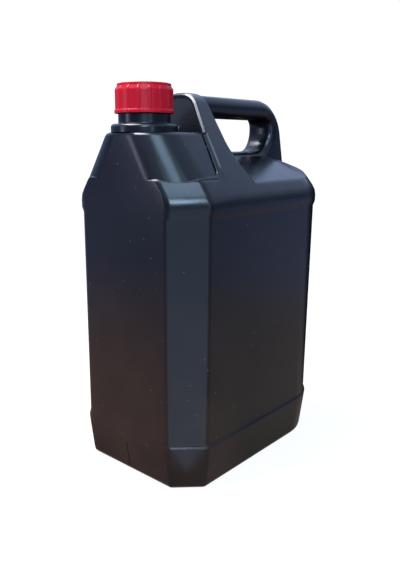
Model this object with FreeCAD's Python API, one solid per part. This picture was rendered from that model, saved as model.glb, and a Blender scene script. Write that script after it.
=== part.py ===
"""Five litre plastic jerrycan: blow-moulded bottle with a hollow handle, screw cap and cap liner.

Millimetres, +Z up, the can stands on Z = 0. The neck end faces -X and the two wide walls face +Y and
-Y. Every size below hangs on the named dimensions, and the inside of the bottle is the outside form
built again one wall thickness in.
"""
import FreeCAD, Part
import math
import os

V = FreeCAD.Vector
UP = V(0, 0, 1)

# ---- the can as a whole
LENGTH = 190.0            # neck end to rear end
WIDTH = 130.0             # across the two wide walls
WALL = 1.4                # blown wall
BAND_TOP = 213.0          # where the walls start to lean in
FRONT_LEG = 21.0          # leg of the flat chamfer on the two front corners
REAR_ROUND = 50.0         # radius of the two rear corners
SOFT = 7.0                # rounding where two walls meet
CHORDS = 12               # chords in each large arc of the outside
INNER_CHORDS = 5          # and of the inside

# ---- foot and label panel
FOOT_ROUND = 5.0          # rounding under the foot
FOOT_TAPER = 3.2          # how far the foot draws in
FOOT_TOP = 34.0           # where the foot starts to draw in, under the sides and the rear
FOOT_FRONT_TOP = 27.0     # and under the neck end, which is plain down to here
DISH = 2.5                # hollow under the base
DISH_RIM = 20.0           # width of the flat rim that the can stands on, corner rounding included
WELD_LONG = 118.0         # pinch-off weld under the base
WELD_WIDE = 2.0
PINCH_WIDE = 0.9          # mould line on the foot under the neck end
PINCH_DEEP = 0.5
PANEL_FOOT = 3.0          # the label panel starts this far above the foot
PANEL_HEAD = 12.0         # and ends this far below the lean
PANEL_LOW = FOOT_TOP + PANEL_FOOT     # label panel, sunk into the sides, the chamfers and the rear
PANEL_HIGH = BAND_TOP - PANEL_HEAD
PANEL_DEPTH = 1.4
STEP_RUN = 1.8            # height of the sloping step into the panel
PANEL_EDGE = 1.0          # cut off the profile at its corners

# ---- shoulder, platform and roof, each height measured up from the one before
PLATFORM_RISE = 44.5
LEDGE_RISE = 13.0
CREASE_RISE = 9.5
REAR_CREASE_RISE = 15.5
ROOF_RISE = 17.0
PLATFORM = BAND_TOP + PLATFORM_RISE   # top of the flat that carries the neck
LEDGE = BAND_TOP + LEDGE_RISE     # lower edge of the sunk shoulder panel
SUNK = 2.0                # depth of the shoulder panel
CORNER_LOW = 31.0         # radius of its two round corners down at the ledge
CORNER_HIGH = 27.0        # and up at the platform
CREASE_Z = BAND_TOP + CREASE_RISE     # where the leaning wall meets the roof
REAR_CREASE_Z = BAND_TOP + REAR_CREASE_RISE   # where the lean ends round the rear
RIDGE_Z = CREASE_Z + ROOF_RISE    # roof height beside the sill
RIDGE_HALF = 14.0
BAND_SOFT = 4.0           # easing of the bend at the top of the band
CREASE_ROUND = 8.0        # radius of the crease along the sides
CREASE_SOFT = 4.0         # easing of the crease round the rear
REAR_LEAN = 2.1           # how far the roof leans in round the rear for each mm up
RIM_SOFT = 2.5            # rim of the platform

# ---- handle
GRIP_RISE = 27.2          # from the platform
SILL_RISE = 3.5           # from the roof
FIN_RISE = 1.6            # from the grip
GRIP_TOP = PLATFORM + GRIP_RISE
GRIP_DEPTH = 15.5         # height of the grip bar
GRIP_WIDTH = 27.0
GRIP_ROUND = 7.5
SILL_Z = RIDGE_Z + SILL_RISE      # bottom of the hand hole
HOLE_BACK = 26.3          # from the hand hole to the rear of the can
HOLE_REAR = LENGTH / 2 - HOLE_BACK
HOLE_LOW_ROUND = 17.0     # its rounding at the sill
HOLE_HIGH_ROUND = 7.0     # and under the grip
REAR_TOP_ROUND = 34.0     # rear top corner of the handle
LEG_BACK = 1.8            # from the foot of the rear leg to the rear of the can
LEG_REAR = LENGTH / 2 - LEG_BACK
LEG_LEAN = 0.30           # how far the rear leg leans forward for each mm up
LEG_BEND = 12.0           # rounding where it starts to lean
LEG_UPRIGHT = 10.0        # it starts to lean this far below the top of the roof
FIN_TOP = GRIP_TOP + FIN_RISE     # the front leg stands up a little over the grip
FIN_NARROW = 1.2          # where its sides would meet the top, it is narrower than the grip by this a side
FIN_TOP_HALF = GRIP_WIDTH / 2 - FIN_NARROW
FIN_TOP_ROUND = 20.0      # its top, seen from the neck
FIN_EDGE = 1.0            # flat along its edges
LEAN = (WIDTH / 2 - FIN_TOP_HALF) / (FIN_TOP - BAND_TOP)    # how far the shoulder leans in for each mm up

# ---- neck and thread
THREAD_ROOT_R = 17.2
THREAD_DEPTH = 1.1
THREAD_GAP = 0.35         # running clearance between the two threads
THREAD_WIDE = 2.2         # thread rib at its root
THREAD_NARROW = 1.3       # and at its crest
THREAD_TURNS = 1.75
THREAD_ROOTED = 0.4       # how far a thread rib reaches into its wall
THREAD_CHORDS = 19        # chords in a turn
THREAD_FADE = 3           # and in the run-out at each end
THREAD_UP = 3.0           # its middle starts this far above the plain part of the neck
LEAD = 4.5                # thread lead, per turn
NECK_WALL = 2.6
NECK_OUT = 1.3            # the plain part of the neck stands out of the thread's root by this
COLLAR_OUT = 5.3          # and the collar out of the plain part
BORE_R = THREAD_ROOT_R - NECK_WALL
NECK_R = THREAD_ROOT_R + NECK_OUT     # plain part of the neck under the cap
COLLAR_R = NECK_R + COLLAR_OUT
COLLAR_H = 5.7
COLLAR_SOFT = 1.0
RIM_EDGE = 0.9
NECK_X = COLLAR_R - LENGTH / 2    # the collar is flush with the neck end
NECK_RISE = 29.2          # from the platform
NECK_RIM = PLATFORM + NECK_RISE

# ---- liner and cap, down from the rim of the neck
LINER_T = 1.4
LINER_IN = 0.5            # the liner is smaller than the thread's root by this
LINER_R = THREAD_ROOT_R - LINER_IN
LINER_GAP = 0.2           # room round the liner in its seat
CAP_TOP_WALL = 2.1
CAP_SIDE_WALL = 1.55
CAP_HEIGHT = 20.0
CAP_TOP = NECK_RIM + LINER_T + CAP_TOP_WALL
CAP_BOTTOM = CAP_TOP - CAP_HEIGHT
CAP_BORE_R = THREAD_ROOT_R + THREAD_DEPTH + THREAD_GAP
CAP_R = CAP_BORE_R + CAP_SIDE_WALL
CAP_SLOPE_RUN = 1.2       # the skirt slopes in by this
CAP_SLOPE_TOP = 1.8       # from CAP_SLOPE_LOW to here, below the top
CAP_SLOPE_LOW = 4.6
CAP_TOP_R = CAP_R - CAP_SLOPE_RUN
CAP_TOP_EDGE = 0.8
CAP_BEAD_OUT = 0.9
CAP_BEAD_R = CAP_R + CAP_BEAD_OUT
CAP_BEAD_H = 2.6
SEAT_DEEP = 5.1           # the liner's seat narrows over this depth
CAP_RIBS = 16
CAP_RIB_OUT = 0.55
CAP_RIB_WIDE = 1.2
CAP_RIB_ROOTED = 1.0      # how far a rib reaches into the skirt
PLAIN_GAP = 0.2           # from the cap down to the plain part of the neck
NECK_PLAIN_TOP = CAP_BOTTOM - PLAIN_GAP   # the thread stands on the neck above this
THREAD_Z = NECK_PLAIN_TOP + THREAD_UP     # height at which both threads start

# ---- front leg of the handle, measured back from the neck
PANEL_BACK = 28.9
FLARE_LONG = 20.8
FLARE_IN = 4.5
FLARE_OUT = 6.5
PANEL_FOOT_X = NECK_X + PANEL_BACK    # foot of the slanted face behind the neck
PANEL_SLANT = 0.33        # how far that face leans back for each mm up
PANEL_TUCK = 0.22         # and how far it carries on forward below the platform
TUCK_ROUND = 12.0
FLARE_TOP = PANEL_FOOT_X + FLARE_LONG     # rear edge of the front leg, at the grip
FLARE_WAIST = FLARE_TOP - FLARE_IN    # the same edge at the sill
FLARE_TOE = FLARE_TOP + FLARE_OUT     # and where it runs out on the roof
WAIST_ROUND = 18.0
TOE_ROUND = 14.0
OVERLAP = 6.0             # how far one form of the bottle runs on into the next
TOUCH = 0.01              # what counts as lying on a plane


def turned(points):
    """For each corner (a, b, radius) or (a, b, radius, chords), the points that round it.

    A corner with no chords gets the start, middle and end of its arc.
    """
    corners = []
    for i, (bx, by, r, *chords) in enumerate(points):
        (ax, ay), (cx, cy) = points[i - 1][:2], points[(i + 1) % len(points)][:2]
        if r <= 0:
            corners.append([(bx, by)])
            continue
        ua, uc = math.hypot(ax - bx, ay - by), math.hypot(cx - bx, cy - by)
        ea, ec = ((ax - bx) / ua, (ay - by) / ua), ((cx - bx) / uc, (cy - by) / uc)
        half_turn = math.acos(max(-1.0, min(1.0, ea[0] * ec[0] + ea[1] * ec[1]))) / 2
        bisector = math.hypot(ea[0] + ec[0], ea[1] + ec[1])
        reach = r / math.sin(half_turn) / bisector
        ox, oy = bx + (ea[0] + ec[0]) * reach, by + (ea[1] + ec[1]) * reach
        back = r / math.tan(half_turn)
        start = math.atan2(by + ea[1] * back - oy, bx + ea[0] * back - ox)
        end = math.atan2(by + ec[1] * back - oy, bx + ec[0] * back - ox)
        sweep = (end - start + math.pi) % (2 * math.pi) - math.pi
        n = chords[0] if chords and chords[0] else 2
        corners.append([(ox + r * math.cos(start + sweep * k / n), oy + r * math.sin(start + sweep * k / n))
                        for k in range(n + 1)])
    return corners


def rounded(points, lift):
    """Closed wire through rounded corners: an arc for each that has a radius and no chords.

    lift turns (a, b) into a point in space.
    """
    corners = turned(points)
    edges = []
    for i, (corner, arc) in enumerate(zip(points, corners)):
        if len(arc) > 1 and not (corner[3:] and corner[3]):
            edges.append(Part.Arc(*[lift(*p) for p in arc]).toShape())
        else:
            edges += [Part.makeLine(lift(*p), lift(*q)) for p, q in zip(arc, arc[1:])]
        end, nxt = arc[-1], corners[(i + 1) % len(corners)][0]
        if math.hypot(nxt[0] - end[0], nxt[1] - end[1]) > 1e-6:
            edges.append(Part.makeLine(lift(*end), lift(*nxt)))
    return Part.Wire(edges)


def skin(loops):
    """A solid in flat faces through a row of loops that have the same number of corners each."""
    flats = [loops[0], loops[-1]]
    for low, high in zip(loops, loops[1:]):
        for k in range(len(low)):
            a, b, c, d = low[k - 1], low[k], high[k], high[k - 1]
            normal = (b - a).cross(c - a)
            if abs(normal.dot(d - a)) < 1e-7 * normal.Length:
                flats.append([a, b, c, d])
            else:
                flats += [[a, b, c], [a, c, d]]
    solid = Part.Solid(Part.Shell([Part.Face(Part.makePolygon(f + f[:1])) for f in flats]))
    if solid.Volume < 0:
        solid.reverse()
    return solid


def side_prism(points, half):
    """An outline of (x, z, radius) corners, extruded across the can from -half to +half."""
    return Part.Face(rounded(points, lambda x, z: V(x, -half, z))).extrude(V(0, 2 * half, 0))


def end_prism(points, x0, x1):
    """An outline of (y, z, radius) corners, extruded along the can from x0 to x1."""
    return Part.Face(rounded(points, lambda y, z: V(x0, y, z))).extrude(V(x1 - x0, 0, 0))


def picked(shape, test):
    """The edges of a shape whose every vertex passes the test."""
    return [e for e in shape.Edges if all(test(v.Point) for v in e.Vertexes)]


def loop(points, z):
    """The corners of a closed plan outline at height z."""
    return [V(x, y, z) for corner in turned(points) for x, y in corner]


def outline(z, front, rear, half, leg, big, soft, chords):
    """Plan outline at height z: two chamfered corners at the front, two large round ones behind."""
    half_side = [(front, half - leg, soft, 2), (front + leg, half, soft, 2), (rear, half, big, chords)]
    return loop(half_side + [(x, -y, r, n) for x, y, r, n in reversed(half_side)], z)


def wall(z, inset, drawn=0.0, front=None, cut=0.0):
    """One level of the walls: inset moves every wall in, drawn only the side and rear walls.

    front is the neck end's own inset, and cut is what is rounded off the profile at this level.
    """
    front = inset if front is None else front
    return {"cut": cut, "at": [z, -LENGTH / 2 + front, LENGTH / 2 - inset - drawn,
                               WIDTH / 2 - inset - drawn,
                               FRONT_LEG + (math.sqrt(2) - 1) * inset - front,
                               REAR_ROUND - inset - drawn, max(SOFT - inset, 3.0)]}


def eased(levels, least=0.0):
    """Round the corners of the wall profile: a short curve in place of each level that has a cut."""
    out = []
    for i, level in enumerate(levels):
        steps = 2 if level["cut"] > 2 else 1
        if level["cut"] <= least:
            out.append(level["at"])
            continue
        here = level["at"]

        def towards(other):
            run = max(abs(a - b) for a, b in zip(other, here))
            return [h + (o - h) * min(0.45, level["cut"] / run) for h, o in zip(here, other)]

        before, after = towards(levels[i - 1]["at"]), towards(levels[i + 1]["at"])
        for s in range(steps + 1):
            t = s / steps
            out.append([(1 - t) ** 2 * p + 2 * t * (1 - t) * q + t * t * r
                        for p, q, r in zip(before, here, after)])
    return out


def chords_for(inset):
    """How finely the large arcs are drawn."""
    return INNER_CHORDS if inset else CHORDS


def stack(levels, chords):
    """A solid through the levels, drawn with that many chords in each large corner."""
    return skin([outline(*at, chords) for at in levels])


def walls(inset):
    """Foot, label panel and band, up to where the walls start to lean in."""
    r = FOOT_ROUND - inset
    under = [wall(inset + r * (1 - math.cos(a)), FOOT_TAPER + inset + r * (1 - math.sin(a)))
             for a in (math.radians(deg) for deg in (0, 30, 60, 90))]
    bevel = FOOT_TAPER * (FOOT_TOP - FOOT_FRONT_TOP) / (FOOT_TOP - FOOT_ROUND)
    deep = PANEL_DEPTH + inset
    return under + [wall(FOOT_FRONT_TOP, inset + bevel, front=inset, cut=0.6 * PANEL_EDGE),
                    wall(FOOT_TOP, inset, cut=PANEL_EDGE),
                    wall(PANEL_LOW - STEP_RUN, inset, cut=PANEL_EDGE),
                    wall(PANEL_LOW, deep, front=inset, cut=PANEL_EDGE),
                    wall(PANEL_HIGH, deep, front=inset, cut=PANEL_EDGE),
                    wall(PANEL_HIGH + STEP_RUN, inset, cut=PANEL_EDGE),
                    wall(BAND_TOP - 0.3 * inset, inset, cut=BAND_SOFT)]


def side(z, inset):
    """Half width between the two leaning planes at height z, with the planes moved in by inset."""
    return WIDTH / 2 - LEAN * (z - BAND_TOP) - math.hypot(1, LEAN) * inset


def lean_in(z, inset):
    """How far the side and rear walls have leant in at height z, beyond the inset itself."""
    return LEAN * (z - BAND_TOP) + (math.hypot(1, LEAN) - 1) * inset


def roof(inset):
    """Long gable between the leaning side walls: an eased crease, then a slope up to the sill."""
    slope = (RIDGE_Z - CREASE_Z) / (side(CREASE_Z, 0) - RIDGE_HALF)
    drop = math.hypot(1, slope) * inset
    dy = -(math.hypot(1, LEAN) * inset - LEAN * drop) / (1 - LEAN * slope)
    crease = CREASE_Z - drop - slope * dy
    low, ridge = PANEL_HIGH, RIDGE_Z - drop
    half = [(side(low, inset), -1, 0), (side(low, inset), low, 0),
            (side(crease, inset), crease, CREASE_ROUND - inset), (RIDGE_HALF, ridge, 0)]
    return end_prism(half + [(-y, z, r) for y, z, r in reversed(half)], -LENGTH, LENGTH)


def rear_body(inset):
    """The can with its roof: the walls lean in up to a crease, then the rear rounds over to the roof."""
    crease, top = REAR_CREASE_Z - 0.6 * inset, RIDGE_Z + 2
    levels = [wall(crease, inset, lean_in(crease, inset), cut=CREASE_SOFT),
              wall(top, inset, lean_in(crease, inset) + REAR_LEAN * (top - crease))]
    for level, back in zip(levels, (12, 40)):
        level["at"][1] += back
    body = stack(eased(walls(inset) + levels, least=4 * inset), chords_for(inset))
    return body.common(roof(inset))


def shoulder(inset):
    """The leaning shoulder under the ledge, in front of the flare of the handle."""
    top = LEDGE - inset
    levels = [wall(PANEL_HIGH + 4, inset), wall(BAND_TOP - 0.3 * inset, inset, cut=BAND_SOFT),
              wall(top - 1.2, inset, lean_in(top - 1.2, inset)),
              wall(top, inset, lean_in(top, inset) + 0.9)]
    behind = PANEL_FOOT_X + OVERLAP
    keep = side_prism([(-LENGTH, PANEL_HIGH, 0), (-LENGTH, PLATFORM, 0), (behind, PLATFORM, 0),
                       (behind, PANEL_HIGH, 0)], WIDTH)
    return stack(eased(levels, least=4 * inset), chords_for(inset)).common(keep)


def block(inset):
    """The sunk front panel of the shoulder, with its two large round corners and the platform."""
    low, high, rear = LEDGE - 1.0 - inset, PLATFORM - inset, PANEL_FOOT_X + OVERLAP

    def level(z, drawn=0.0):
        part_way = (z - low) / (high - low)
        r = CORNER_LOW + (CORNER_HIGH - CORNER_LOW) * part_way - inset - drawn
        half, front = side(z, inset + SUNK) - drawn, -LENGTH / 2 + inset + drawn
        n = chords_for(inset)
        corners = [(rear, half, 0), (front, half, r, n), (front, -half, r, n), (rear, -half, 0)]
        return loop(corners, z)

    rim = RIM_SOFT if not inset else 0.4
    return skin([level(low), level(high - rim), level(high - 0.3 * rim, 0.3 * rim), level(high, rim)])


def fin(inset):
    """The flared front leg of the handle, between the two leaning planes of the shoulder."""
    low, high = BAND_TOP + BAND_SOFT + 0.5, FIN_TOP - inset
    wide, narrow, r = side(low, inset), side(high, inset), FIN_TOP_ROUND - inset
    across = end_prism([(-wide, low, 0), (-narrow, high, r), (narrow, high, r), (wide, low, 0)],
                       -LENGTH / 2, LENGTH / 2)
    slant, above, below = math.hypot(1, PANEL_SLANT) * inset, FIN_TOP + 2, low - 4
    panel_top = PANEL_FOOT_X + PANEL_SLANT * (above - PLATFORM) + slant
    tuck, step = PANEL_FOOT_X - PANEL_TUCK * (PLATFORM - LEDGE) + slant, LEDGE - 0.4 - inset
    along = side_prism([
        (tuck - 2 * OVERLAP, below, 0), (tuck - 2 * OVERLAP, step, 0), (tuck, step, TUCK_ROUND),
        (PANEL_FOOT_X + slant, PLATFORM, 0), (panel_top, above, 0), (FLARE_TOP - inset, above, 0),
        (FLARE_WAIST - inset, SILL_Z - 1, WAIST_ROUND), (FLARE_TOE - inset, CREASE_Z - 2, TOE_ROUND),
        (FLARE_TOE + TOE_ROUND - inset, below, 0)], WIDTH)
    solid = across.common(along)
    if inset:
        return solid
    on_plane = picked(solid, lambda p: p.z > low + TOUCH and abs(abs(p.y) - side(p.z, 0)) < TOUCH)
    return solid.makeChamfer(FIN_EDGE, [
        e for e in on_plane if e.Vertexes[0].Y * e.Vertexes[1].Y > 0
        and any(abs(f.normalAt(0, 0).x) > 0.1 for f in solid.ancestorsOfType(e, Part.Face))])


def handle(inset):
    """Grip bar, rear leg and sill as one ring with rounded edges; the fin closes its front.

    The rounding outside is three flats that touch an arc of GRIP_ROUND, and inside it is one.
    """
    y, low, top = GRIP_WIDTH / 2 - inset, PANEL_HIGH + 2, GRIP_TOP - inset
    front, leg, hole = FLARE_TOP - OVERLAP, LEG_REAR - inset, HOLE_REAR + inset
    sill, under, n = SILL_Z - inset, GRIP_TOP - GRIP_DEPTH + inset, INNER_CHORDS if inset else 0
    ring = side_prism([(front, low, 0), (front, top, 0),
                       (leg - LEG_LEAN * (GRIP_TOP - RIDGE_Z), top, REAR_TOP_ROUND - inset, n),
                       (leg, RIDGE_Z - LEG_UPRIGHT, LEG_BEND, n // 3), (leg, low, 0)], y)
    ring = ring.cut(side_prism([(front - 1, sill, 0), (hole, sill, HOLE_LOW_ROUND, n),
                                (hole, under, HOLE_HIGH_ROUND, n // 2), (front - 1, under, 0)], WIDTH))

    def cornered(shape, widths):
        return [e for e in shape.Edges if min(abs(abs(e.Vertexes[0].Y) - w) for w in widths) < TOUCH
                and abs(e.Vertexes[0].Y - e.Vertexes[1].Y) < TOUCH
                and e.BoundBox.ZMax > low + 1 and e.BoundBox.XMax > front + 0.1]

    if inset:
        return ring.makeChamfer(GRIP_ROUND / 2, cornered(ring, [y]))
    first = GRIP_ROUND * (2 - math.sqrt(2))
    second = GRIP_ROUND * (math.tan(math.pi / 8) - math.tan(math.pi / 16))
    ring = ring.makeChamfer(first, cornered(ring, [y]))
    return ring.makeChamfer(second, cornered(ring, [y, y - first]))


def tube(r, z0, z1):
    return Part.makeCylinder(r, z1 - z0, V(NECK_X, 0, z0))


def spun(points):
    """A closed outline of (radius, z) or (radius, z, rounding) corners, turned about the neck axis.

    A rounding is one flat.
    """
    points = [tuple(p) + (0,) * (3 - len(p)) + (1,) for p in points]
    wire = rounded(points, lambda r, z: V(NECK_X + r, 0, z))
    return Part.Face(wire).revolve(V(NECK_X, 0, 0), UP, 360)


def thread(root, crest, turns, start_deg):
    """A right-hand thread rib from root radius to crest radius, standing out or in, faded at both ends."""
    foot = root - math.copysign(THREAD_ROOTED, crest - root)
    if crest < root:
        crest /= math.cos(math.pi / THREAD_CHORDS)      # the middles of its chords keep the clearance
    steps = round(THREAD_CHORDS * turns)
    sections = []
    for i in range(steps + 1):
        angle = math.radians(start_deg) + 2 * math.pi * turns * i / steps
        faded = root + (crest - root) * min(1.0, i / THREAD_FADE, (steps - i) / THREAD_FADE)
        z = THREAD_Z + LEAD * turns * i / steps
        sections.append([V(NECK_X + r * math.cos(angle), r * math.sin(angle), z + up) for r, up in (
            (foot, -THREAD_WIDE / 2), (faded, -THREAD_NARROW / 2), (faded, THREAD_NARROW / 2),
            (foot, THREAD_WIDE / 2))])
    return skin(sections)


def dish(grow):
    """Hollow under the base, and the bump that it makes in the floor inside."""
    return stack([wall(-1, DISH_RIM - grow)["at"], wall(DISH + grow, DISH_RIM + 3 - grow)["at"]],
                 INNER_CHORDS)


def pinch_line():
    """Short groove up the middle of the neck end's foot, where the mould closed."""
    foot, top = -LENGTH / 2 + FOOT_TAPER, FOOT_FRONT_TOP - 2
    return side_prism([(foot - 3, FOOT_ROUND, 0), (foot + PINCH_DEEP, FOOT_ROUND, 0),
                       (-LENGTH / 2 + 0.3 + PINCH_DEEP, top, 0), (foot - 3, top, 0)], PINCH_WIDE / 2)


def make_blown():
    """The blown part up to the platform, and the handle above it, as one hollow solid each."""
    outer = rear_body(0).fuse([shoulder(0), block(0), fin(0), handle(0)])
    inner = rear_body(WALL).fuse([shoulder(WALL), block(WALL), fin(WALL), handle(WALL)])
    weld = Part.makeBox(WELD_LONG, WELD_WIDE, DISH, V(-WELD_LONG / 2, -WELD_WIDE / 2, DISH / 2))
    outer = outer.cut(dish(0)).fuse(weld)
    mouth = tube(COLLAR_R - WALL, PLATFORM - 2 * WALL, PLATFORM + 1)
    shell = outer.cut(inner.cut(dish(WALL)).fuse(mouth)).cut(pinch_line())
    above = Part.makeBox(LENGTH, WIDTH, WIDTH, V(-LENGTH / 2, -WIDTH / 2, PLATFORM))
    return shell.cut(above).removeSplitter(), shell.common(above).removeSplitter()


def make_neck():
    """Collar and threaded neck, moulded in one with the platform that they stand on."""
    top, inner = PLATFORM + COLLAR_H, COLLAR_R - WALL
    neck = spun([(inner, PLATFORM), (COLLAR_R, PLATFORM), (COLLAR_R, top, COLLAR_SOFT), (NECK_R, top),
                 (NECK_R, NECK_PLAIN_TOP), (THREAD_ROOT_R, NECK_PLAIN_TOP),
                 (THREAD_ROOT_R, NECK_RIM, RIM_EDGE), (BORE_R, NECK_RIM), (BORE_R, top - WALL),
                 (inner, top - WALL)])
    return neck.fuse(thread(THREAD_ROOT_R, THREAD_ROOT_R + THREAD_DEPTH, THREAD_TURNS, 0))


def make_cap():
    """Ribbed skirt with a bead at its foot, a sloped top edge, and the thread and liner seat inside."""
    skirt, seat = CAP_BOTTOM + CAP_BEAD_H, CAP_TOP - CAP_TOP_WALL
    shell = spun([(0, CAP_BOTTOM), (CAP_BEAD_R, CAP_BOTTOM), (CAP_BEAD_R, skirt), (CAP_R, skirt),
                  (CAP_R, CAP_TOP - CAP_SLOPE_LOW), (CAP_TOP_R, CAP_TOP - CAP_SLOPE_TOP),
                  (CAP_TOP_R, CAP_TOP, CAP_TOP_EDGE), (0, CAP_TOP)])
    shell = shell.cut(spun([(0, CAP_BOTTOM - 1), (CAP_BORE_R, CAP_BOTTOM - 1),
                            (CAP_BORE_R, seat - SEAT_DEEP), (LINER_R + LINER_GAP, seat), (0, seat)]))
    low, root = skirt - CAP_BEAD_H / 2, CAP_R - CAP_RIB_ROOTED
    foot, head = CAP_TOP - CAP_SLOPE_LOW, CAP_TOP - CAP_SLOPE_TOP - 0.1 * CAP_SLOPE_RUN
    ribs = []
    for i in range(CAP_RIBS):
        rib = side_prism([(root, low, 0), (CAP_R + CAP_RIB_OUT, low, 0), (CAP_R + CAP_RIB_OUT, foot, 0),
                          (CAP_TOP_R, head, 0), (root - CAP_SLOPE_RUN / 2, head, 0)], CAP_RIB_WIDE / 2)
        rib.rotate(V(0, 0, 0), UP, 360.0 / CAP_RIBS * (i + 0.5))
        rib.translate(V(NECK_X, 0, 0))
        ribs.append(rib)
    inner = thread(CAP_BORE_R, THREAD_ROOT_R + THREAD_GAP, THREAD_TURNS - 0.25, 180)
    return shell.fuse(ribs + [inner])


def make_liner():
    return tube(LINER_R, NECK_RIM, NECK_RIM + LINER_T)


def main():
    os.makedirs("parts", exist_ok=True)
    bottle, handle_top = make_blown()
    for name, shape in (("bottle", bottle), ("handle", handle_top), ("neck", make_neck()),
                        ("screw_cap", make_cap()), ("cap_liner", make_liner())):
        shape.exportStep("parts/%s.step" % name)


if __name__ == "__main__":
    main()
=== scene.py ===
"""Dresses the packed jerrycan: blow-moulded bottle, mould seam, ribbed cap, foam liner, stage.

Metres, +Z up, in the frame of the packed model. The neck end faces -X.
"""
import math

import bmesh
import bpy
from mathutils import Matrix, Vector
from mathutils.bvhtree import BVHTree


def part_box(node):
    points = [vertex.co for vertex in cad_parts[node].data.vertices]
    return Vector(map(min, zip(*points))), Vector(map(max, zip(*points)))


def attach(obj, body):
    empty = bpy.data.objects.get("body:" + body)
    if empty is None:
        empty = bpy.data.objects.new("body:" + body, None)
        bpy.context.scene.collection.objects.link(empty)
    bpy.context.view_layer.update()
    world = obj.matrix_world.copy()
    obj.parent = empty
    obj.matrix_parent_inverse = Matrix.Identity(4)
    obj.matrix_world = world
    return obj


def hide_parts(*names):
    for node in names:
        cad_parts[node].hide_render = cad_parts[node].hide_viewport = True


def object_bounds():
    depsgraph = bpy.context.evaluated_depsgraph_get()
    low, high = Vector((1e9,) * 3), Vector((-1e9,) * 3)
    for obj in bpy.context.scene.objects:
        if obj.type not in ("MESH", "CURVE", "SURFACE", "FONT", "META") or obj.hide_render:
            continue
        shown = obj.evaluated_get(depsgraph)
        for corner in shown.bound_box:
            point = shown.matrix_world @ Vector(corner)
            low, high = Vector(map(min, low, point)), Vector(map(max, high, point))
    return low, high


bl_info = {
    "name": "Plastic Jerrycan",
    "version": (1, 0, 0),
    "blender": (4, 5, 0),
    "location": "3D View > Sidebar > Jerrycan",
    "description": "A five litre plastic jerrycan with a screw cap, and a pale studio stage for it",
    "category": "Object",
}

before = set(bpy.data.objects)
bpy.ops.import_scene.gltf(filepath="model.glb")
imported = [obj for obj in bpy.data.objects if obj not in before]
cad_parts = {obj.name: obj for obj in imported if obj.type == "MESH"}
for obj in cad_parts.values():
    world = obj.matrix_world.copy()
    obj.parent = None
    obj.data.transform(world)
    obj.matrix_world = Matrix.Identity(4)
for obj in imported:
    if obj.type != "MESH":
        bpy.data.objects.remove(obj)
CAD_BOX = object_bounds()
MM = 0.001
UP = Vector((0, 0, 1))

# ---- how the meshes are made
WELD_GAP = 0.004 * MM         # corners of a solid's triangles that lie closer than this are one
SHELL_SHARP = 34              # degrees: an edge of a shell that turns further stays sharp
DETAIL_SHARP = 40             # degrees: the same for the details
FLAT_WEIGHT = 70              # how far the large flat faces rule the bottle's shading
TURN_STEPS = 96               # steps round a turned piece
TINY = 1e-6                   # least divisor

# ---- neck and cap, from their boxes
CAP_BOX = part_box("screw_cap")
LINER_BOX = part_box("cap_liner")
NECK_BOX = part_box("neck")
NECK_X = (CAP_BOX[0].x + CAP_BOX[1].x) / 2
CAP_BEAD_R = (CAP_BOX[1].x - CAP_BOX[0].x) / 2  # bead at the foot of the cap
CAP_LOW, CAP_TOP = CAP_BOX[0].z, CAP_BOX[1].z
PLATFORM, RIM = NECK_BOX[0].z, NECK_BOX[1].z
COLLAR_R = NECK_X - NECK_BOX[0].x
LINER_R = (LINER_BOX[1].x - LINER_BOX[0].x) / 2
SEAT = LINER_BOX[1].z         # ceiling inside the cap
WALL = 1.4 * MM               # wall of the blown bottle

# ---- neck: its collar, its plain foot and the mouth
NECK_R = COLLAR_R - 5.3 * MM
ROOT_R = NECK_R - 1.3 * MM    # root of the neck's thread
MOUTH_R = ROOT_R - 2.6 * MM
COLLAR_TOP = PLATFORM + 5.7 * MM
PLAIN_TOP = CAP_LOW - 0.2 * MM        # the thread stands on the neck above this
STEP_DROP = 0.4 * MM          # slope from the plain foot in to the thread's root

# ---- lug beside the collar
LUG_BEARING = -48             # degrees, about the neck's axis
LUG_OUT = 0.2 * MM            # its middle lies this far outside the collar
LUG_LONG, LUG_DEEP = 1.7 * MM, 1.6 * MM         # half its oval section
# Height in millimetres above the platform, and scale of the section there.
LUG_RINGS = ((-0.5, 1.0), (3.0, 1.0), (3.8, 0.93), (4.4, 0.72), (4.75, 0.42), (4.9, 0.12))

# ---- screw thread
THREAD_Z = PLAIN_TOP + 3.0 * MM       # height at which it starts
THREAD_DEPTH = 1.1 * MM
THREAD_GAP = 0.35 * MM        # from the cap's thread to the root of the neck's
THREAD_FOOT = 2.2 * MM        # height of the rib at its foot
THREAD_CREST = 1.3 * MM       # and at its rounded crest
THREAD_SUNK = 0.4 * MM        # how far its foot goes into the wall
THREAD_ARC = 6                # steps over the crest
THREAD_CHORDS = 48            # steps in a turn
THREAD_FADE = 6               # steps in which it rises at one end and dies at the other
LEAD = 4.5 * MM               # rise in a turn
TURNS = 1.75
CAP_TURNS = TURNS - 0.25
CAP_THREAD_START = 180        # degrees, round from where the neck's thread starts

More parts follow.
